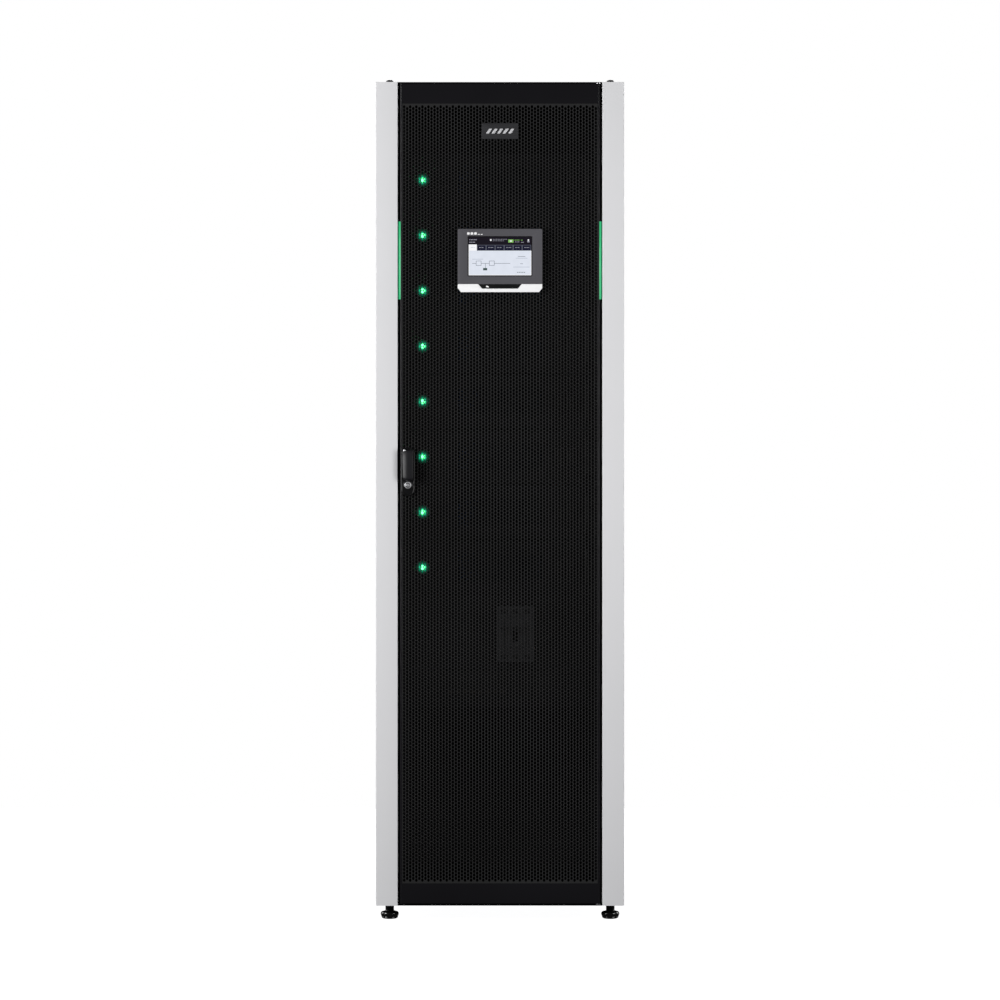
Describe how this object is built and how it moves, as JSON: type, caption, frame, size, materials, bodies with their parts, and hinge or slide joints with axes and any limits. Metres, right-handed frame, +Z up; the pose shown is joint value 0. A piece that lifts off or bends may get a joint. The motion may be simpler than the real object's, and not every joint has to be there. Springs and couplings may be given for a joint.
{
  "type": "server rack battery cabinet",
  "caption": "Tall black battery cabinet with silver front posts, perforated hinged door with a touch display and swing-lever latch, rack-mounted battery modules, on levelling feet.",
  "frame": {"origin": "on the floor, under the middle of the bounding box", "axes": "+Z up, -Y towards the front (door side), +X to the right as seen from the front"},
  "size_m": [0.6, 1.02, 2.038],
  "materials": {
    "black_coat": "fine-textured black powder coat",
    "silver_fascia": "satin silver anodised extrusion",
    "light_bar": "green-lit diffuser strip",
    "bolt_dark": "blackened steel",
    "foot_black": "gloss black",
    "rail_black": "black powder coat",
    "module_black": "satin black powder coat",
    "cell_blue": "blue sleeved prismatic cells",
    "copper": "bare copper",
    "breaker_grey": "dark grey moulded case",
    "toggle_black": "black moulded toggle",
    "perforated_black": "black powder-coated perforated sheet",
    "hinge_steel": "bright steel",
    "bezel_grey": "fine-textured dark grey moulding",
    "screen_glass": "lit touch screen behind glass",
    "white_trim": "gloss white moulding",
    "badge_grey": "dark plate with a plain raised motif",
    "latch_black": "semi-gloss black",
    "lock_metal": "bright plated lock cylinder"
  },
  "bodies": {
    "cabinet": {"base_pan": "black_coat", "roof_pan": "black_coat", "roof_gland_plate": "black_coat", "rear_panel": "black_coat", "corner_post_front_left": "black_coat", "corner_post_rear_left": "black_coat", "side_panel_left": "black_coat", "fascia_left": "silver_fascia", "lifting_bolt_front_left": "bolt_dark", "rack_rail_front_left": "rail_black", "lifting_bolt_rear_left": "bolt_dark", "rack_rail_rear_left": "rail_black", "corner_post_front_right": "black_coat", "corner_post_rear_right": "black_coat", "side_panel_right": "black_coat", "fascia_right": "silver_fascia", "lifting_bolt_front_right": "bolt_dark", "rack_rail_front_right": "rail_black", "lifting_bolt_rear_right": "bolt_dark", "rack_rail_rear_right": "rail_black", "battery_module_1_case": "module_black", "battery_module_1_cells": "cell_blue", "battery_module_2_case": "module_black", "battery_module_2_cells": "cell_blue", "battery_module_3_case": "module_black", "battery_module_3_cells": "cell_blue", "battery_module_4_case": "module_black", "battery_module_4_cells": "cell_blue", "battery_module_5_case": "module_black", "battery_module_5_cells": "cell_blue", "battery_module_6_case": "module_black", "battery_module_6_cells": "cell_blue", "battery_module_7_case": "module_black", "battery_module_7_cells": "cell_blue", "battery_module_8_case": "module_black", "battery_module_8_cells": "cell_blue", "busbar_positive": "copper", "busbar_negative": "copper", "breaker_panel": "module_black", "control_unit": "module_black", "breaker_body": "breaker_grey", "hinge_pin_lower": "hinge_steel", "hinge_pin_upper": "hinge_steel"},
    "door": {"door_frame": "black_coat", "door_sheet": "perforated_black", "light_bar_left": "light_bar", "light_bar_right": "light_bar", "display_housing": "bezel_grey", "display_screen": "screen_glass", "display_trim": "white_trim", "badge_plate": "badge_grey", "latch_pan": "latch_black"},
    "latch_spindle": {"latch_spindle": "hinge_steel"},
    "latch_lever": {"latch_lever": "latch_black"},
    "lock_cylinder": {"lock_cylinder": "lock_metal"},
    "breaker_toggle": {"breaker_toggle": "toggle_black"},
    "foot_front_left": {"levelling_foot_front_left": "foot_black"},
    "foot_front_right": {"levelling_foot_front_right": "foot_black"},
    "foot_rear_left": {"levelling_foot_rear_left": "foot_black"},
    "foot_rear_right": {"levelling_foot_rear_right": "foot_black"}
  },
  "joints": [
    {"name": "door_hinge", "type": "hinge", "parent": "cabinet", "child": "door", "pos_m": [0.238, -0.48, 1.03], "axis": [0, 0, 1], "range_deg": [0, 95]},
    {"name": "latch_turn", "type": "hinge", "parent": "door", "child": "latch_spindle", "pos_m": [-0.2223, -0.49, 1.128], "axis": [0, 1, 0], "range_deg": [0, 90]},
    {"name": "latch_lever_tilt", "type": "hinge", "parent": "latch_spindle", "child": "latch_lever", "pos_m": [-0.2223, -0.5022, 1.132], "axis": [-1, 0, 0], "range_deg": [0, 45]},
    {"name": "lock_turn", "type": "hinge", "parent": "door", "child": "lock_cylinder", "pos_m": [-0.2223, -0.49, 1.0533], "axis": [0, 1, 0], "range_deg": [0, 90]},
    {"name": "breaker_switch", "type": "hinge", "parent": "cabinet", "child": "breaker_toggle", "pos_m": [0.038, -0.432, 0.6925], "axis": [1, 0, 0], "range_deg": [0, 36]},
    {"name": "foot_front_left_screw", "type": "slide", "parent": "cabinet", "child": "foot_front_left", "axis": [0, 0, 1], "range_m": [-0.025, 0]},
    {"name": "foot_front_right_screw", "type": "slide", "parent": "cabinet", "child": "foot_front_right", "axis": [0, 0, 1], "range_m": [-0.025, 0]},
    {"name": "foot_rear_left_screw", "type": "slide", "parent": "cabinet", "child": "foot_rear_left", "axis": [0, 0, 1], "range_m": [-0.025, 0]},
    {"name": "foot_rear_right_screw", "type": "slide", "parent": "cabinet", "child": "foot_rear_right", "axis": [0, 0, 1], "range_m": [-0.025, 0]}
  ]
}
